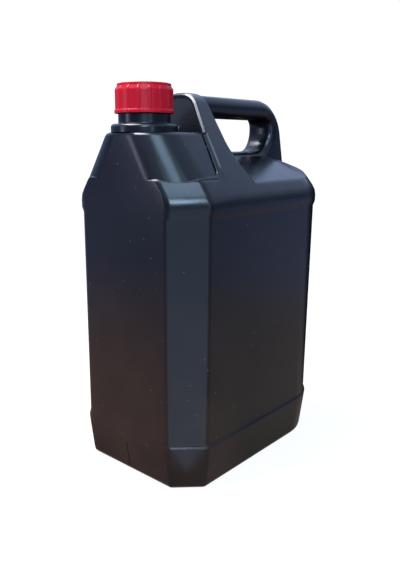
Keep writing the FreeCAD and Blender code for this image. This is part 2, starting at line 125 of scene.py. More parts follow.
# ---- cap
SKIRT_R = CAP_BEAD_R - 0.9 * MM
SKIRT_WALL = 1.55 * MM
BORE_R = SKIRT_R - SKIRT_WALL         # bore of the cap, at the root of its thread
BORE_TOP = SEAT - 5.1 * MM    # the bore narrows to the liner above this
SEAT_R = LINER_R + 0.2 * MM
CAP_BEAD_TOP = CAP_LOW + 2.6 * MM
CAP_BEAD_SLOPE = 0.3 * MM
CAP_SLOPE_LOW = CAP_TOP - 4.6 * MM    # the skirt leans in between these two heights
CAP_SLOPE_TOP = CAP_TOP - 1.8 * MM
TOP_R = SKIRT_R - 1.2 * MM
DISH_DEEP = 0.35 * MM         # the flat top lies this deep inside its raised rim
DISH_R = TOP_R - 3.0 * MM
DISH_RIM_R = TOP_R - 2.2 * MM
RIB_R = SKIRT_R - 0.15 * MM   # line that a grip rib's section is swept along
RIB_LOW = CAP_BEAD_TOP - 0.8 * MM
RIB_BEND = CAP_SLOPE_LOW + 0.4 * MM
RIB_TOP_R = TOP_R - 0.7 * MM
RIB_TOP = CAP_SLOPE_TOP - 0.1 * MM
RIB_ROUND = 1.5 * MM

# ---- shoulder and front leg of the handle, as the solids have them
FIN_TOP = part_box("handle")[1].z
HALF_WIDTH = CAD_BOX[1].y
FRONT = CAD_BOX[0].x
BAND_TOP = PLATFORM - 44.5 * MM       # the shoulder leans in from here
LEDGE = BAND_TOP + 13.0 * MM
FIN_HALF = 12.3 * MM          # half the width of the front leg where its sides would meet its top
LEAN = (HALF_WIDTH - FIN_HALF) / (FIN_TOP - BAND_TOP)
SUNK = 2.0 * MM               # depth of the front panel of the shoulder
SUNK_ROUND = 31.0 * MM        # its upright corners at the ledge
SUNK_TAPER = 4.0 * MM         # and how much tighter they are at the platform
PANEL_X = NECK_X + 28.9 * MM          # foot of the slanted face behind the neck
PANEL_SLANT = 0.33            # how far it goes back for its rise
PANEL_TUCK = 0.22             # how far the sunk panel's rear edge comes forward for its fall
FIN_ROUND = 20.0 * MM         # top corners of the front leg

# ---- rim of the slanted face
RIM_INSET = 1.35 * MM         # its line lies this far inside the face's outline
RIM_START = 0.3 * MM          # and starts this far under the platform
# Its section in millimetres, (across, out of the face): outer foot, broad bevel, crest, steep
# inner slope, and the foot sunk into the face.
RIM_SECTION = (
    (-1.25, -1.1), (-1.2, 0.4), (-1.12, 0.52), (-0.95, 0.62), (0.5, 1.34), (0.65, 1.4),
    (0.8, 1.42), (0.95, 1.38), (1.1, 1.28), (2.75, 0.08), (3.0, -0.03), (3.4, -0.1), (3.3, -0.7))

# ---- slope on the ledge
SLOPE_RISE = 2.6 * MM         # greatest height against the sunk panel
SLOPE_STEEP = 0.5             # rise for its width
SLOPE_SUNK = 0.2 * MM         # how far it goes into the panel
SLOPE_SKIN = 0.05 * MM        # how far its outer edge dips under the ledge
SLOPE_DEEP = 1.0 * MM         # depth of its foot
SLOPE_LEG = 21.0 * MM         # legs of the front corner's chamfer, where the ledge ends
SLOPE_MARGIN = 1.0 * MM       # from the side of the can to its outer edge

# ---- bead at the rear of the sunk panel
BEAD_IN = 1.25 * MM           # depth of its line under the side of the can
BEAD_LONG, BEAD_DEEP = 2.3 * MM, 0.85 * MM      # half its oval section
BEAD_FOOT = LEDGE + 1.0 * MM
BEAD_HEAD = PLATFORM - 1.6 * MM
BEAD_FORE = 1.2 * MM          # how far it lies in front of the panel's rear edge
BEAD_BEND = 6.5 * MM
BEAD_RUN = (12.0 * MM, 18.0 * MM, 24.0 * MM)    # distances forward at which its tail has a point
BEAD_FALL = 0.02              # drop of the tail for its length
BEAD_START = 0.6              # its scale at the head, and at the last steps of its tail
BEAD_TAPER = (0.85, 0.6, 0.3)

# ---- edge of the hollow behind the front leg
# Its corners in millimetres: x, height above the band, and rounding.
FLARE_LINE = ((-25.7, 38.0), (-26.2, 33.5, 4.0), (-23.7, 23.6, 12.0), (-16.3, 9.4))
FLARE_IN = 0.5 * MM
FLARE_LONG, FLARE_DEEP = 0.6 * MM, 0.55 * MM    # half its oval section
FLARE_FACE = (0.5, 0.4)       # how far it faces to the rear and upwards, beside the lean

# ---- mould seam
SEAM_Y = 0.1 * MM             # beside the row of corners at Y = 0
SEAM_FOOT = PLATFORM + 0.5 * MM       # it runs above this
SEAM_FRONT = PANEL_X + 12 * MM        # and behind this
SEAM_STEP = 1.5 * MM
SKIN_STEP = 0.1 * MM          # a ray starts this far off the skin
HOLLOW = 12 * MM              # if it meets plastic nearer than this, it started in the hollow

# ---- stage
FLOOR_REACH = 4.0
CARD_BEARING = 25             # degrees: dark card behind the can
BAY_BEARING = -131            # lit bay before the front corner
CAMERA_AT = (-0.38353, -0.31632, 0.2510)
CAMERA_TURN = (42.258, 14.224, 0.073)   # degrees: bearing, dip below level, roll
CAMERA_SHIFT = (0.0379, 0.0179)
CAMERA_CLIP = (0.01, 50.0)
SENSOR = 36.0
# Each softbox: its name, bearing and height above the can's middle in degrees, distance, width
# and height in metres, radiance, and colour.
SOFTBOXES = (
    ("overhead", 133, 66, 1.2, 0.75, 0.50, 50.0, "#f2f4ff"),
    ("left_strip", 148, 10, 1.2, 0.20, 0.36, 12.0, "#dcd8ff"),
    ("over_camera", -134, 54, 1.3, 0.46, 0.56, 18.0, "#b2d4f2"),
    ("camera_bar", -137, 26, 1.3, 0.30, 0.26, 75.0, "#b2d4f2"),
    ("right_strip", -112, 14, 1.3, 0.08, 0.60, 16.0, "#b0d8ff"),
)


def linear(code):
    """An sRGB hex colour as the linear red, green and blue that shaders use."""
    parts = [int(code[i:i + 2], 16) / 255 for i in (1, 3, 5)]
    return tuple(c / 12.92 if c <= 0.04045 else ((c + 0.055) / 1.055) ** 2.4 for c in parts)


def opaque(colour):
    return tuple(colour) + (1.0,)


def per_mm(size):
    """Texture scale on Object coordinates that gives a pattern of that size in millimetres."""
    return 1000.0 / size


def add(tree, kind, inputs=None, **settings):
    """One node of a shader or geometry tree: its settings, then each input's value or link."""
    node = tree.nodes.new(kind)
    for name, value in settings.items():
        setattr(node, name, value)
    for name, value in (inputs or {}).items():
        if isinstance(value, bpy.types.NodeSocket):
            tree.links.new(value, node.inputs[name])
        else:
            node.inputs[name].default_value = value
    return node


def colour_property(name, description, code):
    return bpy.props.FloatVectorProperty(
        name=name, description=description, subtype="COLOR", size=3, min=0.0, max=1.0,
        default=linear(code))


def length_property(name, description, millimetres):
    return bpy.props.FloatProperty(
        name=name, description=description, unit="LENGTH", subtype="DISTANCE", min=0.0,
        precision=5, default=millimetres * MM)


def light_property(name, description, default):
    return bpy.props.FloatProperty(
        name=name, description=description, min=0.0, max=10.0, default=default)


# ---------------------------------------------------------------- settings

class JerrycanBottle(bpy.types.PropertyGroup):
    """The blow-moulded bottle and its mould seam."""
    plastic: colour_property("Plastic", "Colour of the black bottle plastic", "#050608")
    # colour of a painted warm reflection that browns the lower walls
    painted_reflection: colour_property("Painted_reflection", "Colour of the fine dust on the lower walls", "#261b15")
    roughness: bpy.props.FloatProperty(
        name="Roughness", description="Roughness of the moulded skin", subtype="FACTOR",
        min=0.0, max=1.0, default=0.24)
    peel: length_property("Grain", "Size of the orange peel left by the mould", 1.6)
    seam_width: length_property("Seam width", "Width of the raised mould seam", 0.7)
    seam_height: length_property("Seam height", "How far the mould seam stands out", 0.12)


class JerrycanCap(bpy.types.PropertyGroup):
    """The screw cap, its grip ribs and its liner."""
    plastic: colour_property("Plastic", "Colour of the red cap plastic", "#850a15")
    foam: colour_property("Liner foam", "Colour of the foam disc inside the cap", "#e9e6df")
    ribs: bpy.props.IntProperty(
        name="Grip ribs", description="Number of grip ribs round the skirt", min=3, max=120,
        default=16)
    rib_width: length_property("Rib width", "Width of one grip rib", 2.2)
    rib_height: length_property("Rib height", "How far a grip rib stands out of the skirt", 0.6)


class JerrycanStage(bpy.types.PropertyGroup):
    """Floor, light and camera."""
    floor: colour_property("Floor", "Colour of the plain floor", "#b4b4b6")
    sky: light_property("Room light", "Brightness of the pale room", 1.05)
    mirrored: light_property("Mirrored light", "Brightness of the room in the can", 4.0)
    tint: colour_property("Mirrored room", "Colour of the upper room, mirrored", "#8596b6")
    low: colour_property("Mirrored low room", "Colour near the horizon, mirrored", "#434f6c")
    # the colours from here to the mirrored side floor are painted light on the glowing floor, seen
    # in the can: a black card, painted shade and a painted lit bay; the card is in the mirrored
    # room as well
    flag: colour_property("Black card", "Colour of the card behind the can, mirrored", "#08080a")
    far: colour_property("Mirrored far floor", "Colour of the far floor, mirrored", "#646c8c")
    near: colour_property("Mirrored near floor", "Colour of the floor in front", "#806a66")
    bay: colour_property("Mirrored lit floor", "Colour before the front corner", "#a6bad8")
    shade: colour_property("Mirrored side floor", "Colour of the floor beside it", "#68625f")
    light: light_property("Softboxes", "Brightness of all softboxes together", 1.0)
    lens: bpy.props.FloatProperty(
        name="Lens", description="Focal length of the camera in millimetres", unit="CAMERA",
        min=1.0, max=300.0, default=38.19)


# ---------------------------------------------------------------- meshes

def welded(node, name):
    """A welded copy of a CAD node's loose triangles, smooth but for its sharp edges."""
    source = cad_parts[node].data
    mesh = bpy.data.meshes.new(name)
    mesh.from_pydata([v.co for v in source.vertices], [],
                     [tuple(p.vertices) for p in source.polygons])
    weld = bmesh.new()
    weld.from_mesh(mesh)
    bmesh.ops.remove_doubles(weld, verts=weld.verts, dist=WELD_GAP)
    weld.to_mesh(mesh)
    weld.free()
    mesh.shade_smooth()
    mesh.set_sharp_from_angle(angle=math.radians(SHELL_SHARP))
    return mesh


def place(mesh, name):
    """Links an object for a finished mesh, unturned at the origin."""
    piece = bpy.data.objects.new(name, mesh)
    bpy.context.scene.collection.objects.link(piece)
    return piece


def weigh_normals(piece):
    """Flat walls keep their flat shading up to the roundings beside them."""
    weighted = piece.modifiers.new("weighted_normals", "WEIGHTED_NORMAL")
    weighted.keep_sharp = True
    weighted.weight = FLAT_WEIGHT


def merged(name, *forms):
    """One mesh of several closed forms, each given as its corners and its faces."""
    corners, faces = [], []
    for points, polygons in forms:
        faces += [tuple(i + len(corners) for i in polygon) for polygon in polygons]
        corners += points
    mesh = bpy.data.meshes.new(name)
    mesh.from_pydata(corners, [], faces)
    outward = bmesh.new()
    outward.from_mesh(mesh)
    bmesh.ops.recalc_face_normals(outward, faces=outward.faces)
    outward.to_mesh(mesh)
    outward.free()
    mesh.shade_smooth()
    mesh.set_sharp_from_angle(angle=math.radians(DETAIL_SHARP))
    return mesh


def eased(points, closed=False, steps=7):
    """A path through corners (a, b) or (a, b, radius); a radius turns its corner into an arc."""
    path = []
    for i, (bx, by, *radius) in enumerate(points):
        end = not closed and i in (0, len(points) - 1)
        if end or not radius:
            path.append((bx, by))
            continue
        here = Vector((bx, by))
        before = (Vector(points[i - 1][:2]) - here).normalized()
        after = (Vector(points[(i + 1) % len(points)][:2]) - here).normalized()
        half = before.angle(after) / 2
        middle = here + (before + after).normalized() * (radius[0] / math.sin(half))
        first = here + before * (radius[0] / math.tan(half)) - middle
        last = here + after * (radius[0] / math.tan(half)) - middle
        for k in range(steps + 1):
            arm = (first * (1 - k / steps) + last * (k / steps)).normalized() * radius[0]
            path.append(tuple(middle + arm))
    return path


def lathe(profile, closed):
    """A path of (radius, z) turned about the neck's axis; an open one ends on the axis."""
    corners, rows = [], []
    for r, z in profile:
        count = TURN_STEPS if r else 1
        rows.append([len(corners) + k % count for k in range(TURN_STEPS)])
        for k in range(count):
            angle = math.tau * k / TURN_STEPS
            corners.append((NECK_X + r * math.cos(angle), r * math.sin(angle), z))
    faces = []
    for low, high in zip(rows, rows[1:] + ([rows[0]] if closed else [])):
        for k in range(TURN_STEPS):
            face = [low[k - 1], low[k], high[k], high[k - 1]]
            faces.append(tuple(c for i, c in enumerate(face) if c != face[i - 1]))
    return corners, faces


def swept(path, section, out, scales=None):
    """A closed section of (side, out) carried along an open path, each step with its own scale."""
    corners, n = [], len(section)
    for i, point in enumerate(path):
        along = (path[min(i + 1, len(path) - 1)] - path[max(i - 1, 0)]).normalized()
        up = (out - along * out.dot(along)).normalized()
        beside = along.cross(up)
        size = scales[i] if scales else 1.0
        corners += [tuple(point + beside * a * size + up * b * size) for a, b in section]
    last = len(corners) - n
    faces = [(low + k, low + (k + 1) % n, low + n + (k + 1) % n, low + n + k)
             for low in range(0, last, n) for k in range(n)]
    return corners, faces + [tuple(range(n)), tuple(range(last, last + n))]


def oval(half_long, half_deep, count=12):
    return [(half_long * math.cos(math.tau * k / count), half_deep * math.sin(math.tau * k / count))
            for k in range(count)]


def thread_rib(root, crest, turns, start):
    """A right-hand thread rib with rounded flanks between two radii, faded at both ends."""
    out = 1 if crest > root else -1
    corners, rows = [], round(THREAD_CHORDS * turns)
    foot, flank = THREAD_FOOT / 2, (THREAD_FOOT - THREAD_CREST) / 2
    for i in range(rows + 1):
        angle = math.radians(start) + math.tau * turns * i / rows
        ease = min(1.0, i / THREAD_FADE, (rows - i) / THREAD_FADE)
        tall = abs(crest - root) * ease * (2 - ease)
        z = THREAD_Z + LEAD * turns * i / rows
        crown = [(tall * math.sin(math.pi * k / THREAD_ARC) ** 0.5,
                  -foot + flank + THREAD_CREST * (k - 1) / (THREAD_ARC - 2))
                 for k in range(1, THREAD_ARC)]
        outline = [(-THREAD_SUNK, -foot), (0.0, -foot), *crown, (0.0, foot), (-THREAD_SUNK, foot)]
        for rise, up in outline:
            r = root + out * rise
            corners.append((NECK_X + r * math.cos(angle), r * math.sin(angle), z + up))
    n = len(outline)
    faces = [(i * n + k, i * n + (k + 1) % n, (i + 1) * n + (k + 1) % n, (i + 1) * n + k)
             for i in range(rows) for k in range(n)]
    return corners, faces + [tuple(range(n)), tuple(range(rows * n, (rows + 1) * n))]


def half_width(z, inset=0.0):
    """Half the distance between the two leaning sides of the shoulder at height z."""
    return HALF_WIDTH - LEAN * (z - BAND_TOP) - math.hypot(1, LEAN) * inset


def rear_edge(z):
    """X of the rear edge of the sunk panel at height z."""
    return PANEL_X - PANEL_TUCK * (PLATFORM - z)


def shell_tree(shell):
    return BVHTree.FromPolygons([v.co for v in shell.data.vertices],
                                [tuple(p.vertices) for p in shell.data.polygons])


def on_outside(tree, point):
    """Whether a point of the Y = 0 section lies on the outside of the shell, not in its hollow."""
    _, normal, _, _ = tree.find_nearest(point)
    met = tree.ray_cast(Vector(point) + normal * SKIN_STEP, normal)
    return met[0] is None or met[3] > HOLLOW


def grown(piece, tree, values):
    """Runs a Geometry Nodes tree on a piece with its named inputs, and keeps the plain mesh."""
    modifier = piece.modifiers.new(tree.name, "NODES")
    modifier.node_group = tree
    sockets = {item.name: item.identifier for item in tree.interface.items_tree
               if item.item_type == "SOCKET" and item.in_out == "INPUT"}
    for name, value in values.items():
        modifier[sockets[name]] = value
    bpy.context.view_layer.update()
    graph = bpy.context.evaluated_depsgraph_get()
    mesh = bpy.data.meshes.new_from_object(piece.evaluated_get(graph))
    piece.modifiers.remove(modifier)
    mesh.name = piece.name
    piece.data = mesh
    mesh.shade_smooth()
    return piece


def node_tree(name, inputs):
    """An empty Geometry Nodes tree with a geometry in and out, and the named inputs."""
    tree = bpy.data.node_groups.new(name, "GeometryNodeTree")
    tree.interface.new_socket("Geometry", in_out="OUTPUT", socket_type="NodeSocketGeometry")
    tree.interface.new_socket("Geometry", in_out="INPUT", socket_type="NodeSocketGeometry")
    for label, kind in inputs.items():
        tree.interface.new_socket(label, in_out="INPUT", socket_type=kind)
    return tree, tree.nodes.new("NodeGroupInput").outputs


def oval_bar(tree, curve, width, height, sides):
    """A bar of oval section swept along a curve, as wide as said and as high to either side."""
    upright = add(tree, "GeometryNodeSetCurveNormal", {"Curve": curve}, mode="MINIMUM_TWIST")
    ring = add(tree, "GeometryNodeCurvePrimitiveCircle", {"Resolution": sides, "Radius": 1.0},
               mode="RADIUS")
    half = add(tree, "ShaderNodeMath", {0: width, 1: 0.5}, operation="MULTIPLY")
    size = add(tree, "ShaderNodeCombineXYZ", {"X": height, "Y": half.outputs[0], "Z": 1.0})
    section = add(tree, "GeometryNodeTransform", {"Geometry": ring.outputs[0],
                                                  "Scale": size.outputs[0]})
    return add(tree, "GeometryNodeCurveToMesh", {
        "Curve": upright.outputs[0], "Profile Curve": section.outputs[0], "Fill Caps": True})


def rib_tree():
    """Round-backed grip ribs in a ring: a bar swept along the path it is given, once a rib."""
    tree, given = node_tree("cap_grip_ribs", {
        "Count": "NodeSocketInt", "Width": "NodeSocketFloat", "Height": "NodeSocketFloat",
        "Centre X": "NodeSocketFloat", "Turn": "NodeSocketFloat", "Material": "NodeSocketMaterial"})
    line = add(tree, "GeometryNodeMeshToCurve", {"Mesh": given["Geometry"]})
    rib = oval_bar(tree, line.outputs[0], given["Width"], given["Height"], 20)
    places = add(tree, "GeometryNodePoints", {"Count": given["Count"]})
    index = add(tree, "GeometryNodeInputIndex")
    pitch = add(tree, "ShaderNodeMath", {0: math.tau, 1: given["Count"]}, operation="DIVIDE")
    turned = add(tree, "ShaderNodeMath", {0: index.outputs[0], 1: pitch.outputs[0]},
                 operation="MULTIPLY")
    begun = add(tree, "ShaderNodeMath", {0: turned.outputs[0], 1: given["Turn"]}, operation="ADD")
    angle = add(tree, "ShaderNodeCombineXYZ", {"Z": begun.outputs[0]})
    placed = add(tree, "GeometryNodeInstanceOnPoints", {
        "Points": places.outputs[0], "Instance": rib.outputs[0], "Rotation": angle.outputs[0]})
    real = add(tree, "GeometryNodeRealizeInstances", {"Geometry": placed.outputs[0]})
    shift = add(tree, "ShaderNodeCombineXYZ", {"X": given["Centre X"]})
    moved = add(tree, "GeometryNodeTransform", {"Geometry": real.outputs[0],
                                                "Translation": shift.outputs[0]})
    finish = add(tree, "GeometryNodeSetMaterial", {"Geometry": moved.outputs[0],
                                                   "Material": given["Material"]})
    add(tree, "NodeGroupOutput", {"Geometry": finish.outputs[0]})
    return tree


def seam_tree():
    """A low rounded ridge swept along the edges it is given."""
    tree, given = node_tree("mould_seam_ridge", {
        "Width": "NodeSocketFloat", "Height": "NodeSocketFloat", "Step": "NodeSocketFloat",
        "Material": "NodeSocketMaterial"})
    line = add(tree, "GeometryNodeMeshToCurve", {"Mesh": given["Geometry"]})
    steps = add(tree, "GeometryNodeResampleCurve", {"Curve": line.outputs[0],
                                                    "Length": given["Step"]}, mode="LENGTH")
    ridge = oval_bar(tree, steps.outputs[0], given["Width"], given["Height"], 12)
    real = add(tree, "GeometryNodeRealizeInstances", {"Geometry": ridge.outputs[0]})
    finish = add(tree, "GeometryNodeSetMaterial", {"Geometry": real.outputs[0],
                                                   "Material": given["Material"]})
    add(tree, "NodeGroupOutput", {"Geometry": finish.outputs[0]})
    return tree


# ---------------------------------------------------------------- details of the shoulder

def panel_rim():
    """Raised rim round the slanted face behind the neck: broad outer bevel, steep inner slope."""
    out = Vector((-1, 0, PANEL_SLANT)).normalized()
    low, top = PLATFORM - RIM_START, FIN_TOP - RIM_INSET
    foot, head, r = half_width(low, RIM_INSET), half_width(top, RIM_INSET), FIN_ROUND - RIM_INSET
    outline = eased([(foot, low), (head, top, r), (-head, top, r), (-foot, low)], steps=14)
    path = [Vector((PANEL_X + PANEL_SLANT * (z - PLATFORM), y, z)) for y, z in outline]
    return swept(path, [(a * MM, b * MM) for a, b in RIM_SECTION], out)


def sunk_outline(z, proud):
    """Plan outline of the sunk front panel at height z, round from one rear edge to the other."""
    r = SUNK_ROUND - SUNK_TAPER * (z - LEDGE) / (PLATFORM - LEDGE)
    half, rear = half_width(z, SUNK) + proud, rear_edge(z)
    return eased([(rear, half), (FRONT, half, r), (FRONT, -half, r), (rear, -half)], steps=16)


def ledge_slope():
    """Slopes from the ledge up to the wall of the sunk panel, widest at the round corners."""
    edge, forms = half_width(LEDGE) - SLOPE_MARGIN, []
    for side in (-1, 1):
        inner = [Vector((x, abs(y))) for x, y in sunk_outline(LEDGE, -SLOPE_SUNK) if y * side > 0]
        middle = Vector((FRONT + SUNK_ROUND, inner[0].y - SUNK_ROUND))
        corners = []
        for at in inner:
            ray = Vector((0, 1)) if at.x > middle.x else (at - middle).normalized()
            to_side = (edge - at.y) / max(ray.y, TINY)
            to_front = (at.x - FRONT) / max(-ray.x, TINY)
            to_leg = (at.x - FRONT + edge - at.y - SLOPE_LEG) / max(ray.y - ray.x, TINY)
            out = at + ray * max(0.0, min(to_side, to_front, to_leg))
            up = min(SLOPE_RISE, SLOPE_STEEP * (out - at).length)
            corners += [(at.x, side * at.y, LEDGE + up), (out.x, side * out.y, LEDGE - SLOPE_SKIN),
                        (at.x, side * at.y, LEDGE - SLOPE_DEEP)]
        n = len(inner)
        faces = [(3 * i + a, 3 * i + b, 3 * i + 3 + b, 3 * i + 3 + a)
                 for i in range(n - 1) for a, b in ((0, 1), (1, 2), (2, 0))]
        forms.append((corners, faces + [(0, 1, 2), (3 * n - 3, 3 * n - 2, 3 * n - 1)]))
    return forms


def panel_bead(side):
    """Rounded bead down the rear edge of the sunk panel and round into the ledge."""
    head, foot = rear_edge(BEAD_HEAD) - BEAD_FORE, rear_edge(BEAD_FOOT) - BEAD_FORE
    tail = [(foot - run, BEAD_FOOT - run * BEAD_FALL) for run in BEAD_RUN]
    outline = eased([(head, BEAD_HEAD), (foot, BEAD_FOOT, BEAD_BEND)] + tail, steps=12)
    path = [Vector((x, side * half_width(z, BEAD_IN), z)) for x, z in outline]
    scales = [BEAD_START] + [1.0] * (len(path) - 1 - len(BEAD_TAPER)) + list(BEAD_TAPER)
    return swept(path, oval(BEAD_LONG, BEAD_DEEP, 20), Vector((0, side, LEAN)), scales)


def flare_line(side):
    """Rounded edge where the flat side gives way to the hollow behind the handle's front leg."""
    path = []
    for x, z in eased(FLARE_LINE, steps=10):
        high = BAND_TOP + z * MM
        path.append(Vector((x * MM, side * half_width(high, FLARE_IN), high)))
    out = Vector((FLARE_FACE[0], side, LEAN + FLARE_FACE[1]))
    scales = [0.5] + [1.0] * (len(path) - 2) + [0.5]
    return swept(path, oval(FLARE_LONG, FLARE_DEEP), out, scales)


def collar_lug():
    """Small rounded lug that stands beside the collar."""
    bearing = math.radians(LUG_BEARING)
    out = Vector((math.cos(bearing), math.sin(bearing), 0))
    foot = Vector((NECK_X, 0, PLATFORM)) + out * (COLLAR_R + LUG_OUT)
    return swept([foot + UP * up * MM for up, _ in LUG_RINGS], oval(LUG_LONG, LUG_DEEP), out,
                 [size for _, size in LUG_RINGS])


# ---------------------------------------------------------------- materials

def new_material(name):
    material = bpy.data.materials.new(name)
    material.use_nodes = True
    tree = material.node_tree
    tree.nodes.clear()
    return material, tree, add(tree, "ShaderNodeTexCoord").outputs["Object"]


def noise(tree, at, size, detail):
    """Soft noise of a size in millimetres."""
    return add(tree, "ShaderNodeTexNoise", {"Vector": at, "Scale": per_mm(size),
                                            "Detail": detail}).outputs[0]


def cells(tree, at, size):
    """Distance to the nearest of scattered points, their spacing in millimetres."""
    return add(tree, "ShaderNodeTexVoronoi", {"Vector": at,
                                              "Scale": per_mm(size)}).outputs["Distance"]


def ramp(tree, value, start, end, low=0.0, high=1.0, smooth=False):
    """A value's way from start to end, as a number from low to high."""
    return add(tree, "ShaderNodeMapRange", {
        "Value": value, "From Min": start, "From Max": end, "To Min": low, "To Max": high},
        interpolation_type="SMOOTHSTEP" if smooth else "LINEAR").outputs[0]


def times(tree, first, second):
    return add(tree, "ShaderNodeMath", {0: first, 1: second}, operation="MULTIPLY").outputs[0]


def blend(tree, factor, first, second):
    """Two colours mixed: a factor of 0 gives the first, 1 the second."""
    return add(tree, "ShaderNodeMix", {"Factor": factor, "A": first, "B": second},
               data_type="RGBA").outputs["Result"]


def bump(tree, height, strength, millimetres, under=None):
    """Relief of a height in millimetres, laid over another where one is given."""
    node = add(tree, "ShaderNodeBump", {"Height": height, "Strength": strength,
                                        "Distance": millimetres * MM})
    if under is not None:
        tree.links.new(under, node.inputs["Normal"])
    return node.outputs[0]


def blow_moulded_hdpe(settings):
    """High-density polyethylene filled with carbon black, blown against a blasted steel mould.

    The skin is waxy: broad soft highlights on near-black, fine orange peel, a few pale dust
    specks, and a brown cast on the lower walls that is a painted warm reflection, strongest at
    the neck end.
    """
    material, tree, at = new_material("blow_moulded_hdpe")
    apart = add(tree, "ShaderNodeSeparateXYZ", {"Vector": at}).outputs
    low = ramp(tree, apart["Z"], 0.17, 0.02, high=1.3)      # painted warm reflection, from 170 mm down
    fore = ramp(tree, apart["X"], -0.02, -0.08, low=0.3)    # and more of it at the neck end
    blotch = noise(tree, at, 35, 3.0)
    # the plastic browned by the painted warm reflection where low, fore and blotch say
    body = blend(tree, times(tree, times(tree, low, fore), blotch), opaque(settings.plastic),
                 opaque(settings.painted_reflection))
    speck = ramp(tree, cells(tree, at, 9), 0.06, 0.02, high=0.16)
    skin = blend(tree, speck, body, opaque(linear("#9a9490")))
    ripple = bump(tree, noise(tree, at, 14, 1.0), 0.5, 0.12)
    peel = bump(tree, noise(tree, at, settings.peel / MM, 2.0), 0.55, 0.05, ripple)
    gloss = ramp(tree, blotch, 0.0, 1.0, settings.roughness - 0.05, settings.roughness + 0.08)
    shader = add(tree, "ShaderNodeBsdfPrincipled", {
        "Base Color": skin, "Roughness": gloss, "Normal": peel,
        "IOR": 1.54, "Specular IOR Level": 0.17})
    add(tree, "ShaderNodeOutputMaterial", {"Surface": shader.outputs[0]})
    return material


def moulded_polypropylene(settings):
    """Polypropylene, injection moulded in a polished tool and dyed through.

    Saturated red with small clear highlights and faint, slightly darker flow marks.
    """
    material, tree, at = new_material("moulded_polypropylene")
    flow = noise(tree, at, 6, 2.0)
    body = blend(tree, flow, opaque(settings.plastic), opaque(Vector(settings.plastic) * 0.8))
    shader = add(tree, "ShaderNodeBsdfPrincipled", {
        "Base Color": body, "Roughness": ramp(tree, flow, 0.0, 1.0, 0.26, 0.36),
        "Normal": bump(tree, noise(tree, at, 0.9, 1.0), 0.3, 0.02),
        "IOR": 1.49, "Specular IOR Level": 0.09})
    add(tree, "ShaderNodeOutputMaterial", {"Surface": shader.outputs[0]})
    return material


def polyethylene_foam(settings):
    """Expanded polyethylene foam, skived and punched: matt, off-white, finely pitted."""
    material, tree, at = new_material("polyethylene_foam")
    pits = cells(tree, at, 0.6)
    # the pits are a fifth darker: painted shade in them
    body = blend(tree, pits, opaque(Vector(settings.foam) * 0.8), opaque(settings.foam))
    shader = add(tree, "ShaderNodeBsdfPrincipled", {
        "Base Color": body, "Roughness": 0.85, "Normal": bump(tree, pits, 0.6, 0.1), "IOR": 1.5})
    add(tree, "ShaderNodeOutputMaterial", {"Surface": shader.outputs[0]})
    return material


def toward(tree, at, bearing, start, end):
    """How far a direction, or a place on the floor, lies toward a compass bearing: 0 to 1."""
    a = math.radians(bearing)
    unit = add(tree, "ShaderNodeVectorMath", {0: at}, operation="NORMALIZE").outputs[0]
    ahead = add(tree, "ShaderNodeVectorMath", {0: unit, 1: (math.cos(a), math.sin(a), 0.0)},
                operation="DOT_PRODUCT").outputs["Value"]
    return ramp(tree, ahead, start, end, smooth=True)


def pale_room(settings):
    """A world that is white to the camera; the can mirrors a blue room with a dark card in it."""
    world = bpy.data.worlds.new("pale_room")
    world.use_nodes = True
    tree = world.node_tree
    tree.nodes.clear()
    at = add(tree, "ShaderNodeTexCoord").outputs["Generated"]
    rise = add(tree, "ShaderNodeSeparateXYZ", {"Vector": at}).outputs["Z"]
    room = blend(tree, ramp(tree, rise, 0.1, 0.5, smooth=True), opaque(settings.low),
                 opaque(settings.tint))
    card = times(tree, ramp(tree, rise, 0.35, 0.15), toward(tree, at, CARD_BEARING, 0.6, 0.93))
    mirrored = add(tree, "ShaderNodeBackground", {
        "Color": blend(tree, card, room, opaque(settings.flag)), "Strength": settings.mirrored})
    white = add(tree, "ShaderNodeBackground", {"Color": opaque((1, 1, 1)),
                                               "Strength": settings.sky})
    direct = add(tree, "ShaderNodeLightPath").outputs["Is Camera Ray"]
    both = add(tree, "ShaderNodeMixShader", {0: direct, 1: mirrored.outputs[0],
                                             2: white.outputs[0]})
    add(tree, "ShaderNodeOutputWorld", {"Surface": both.outputs[0]})
    return world


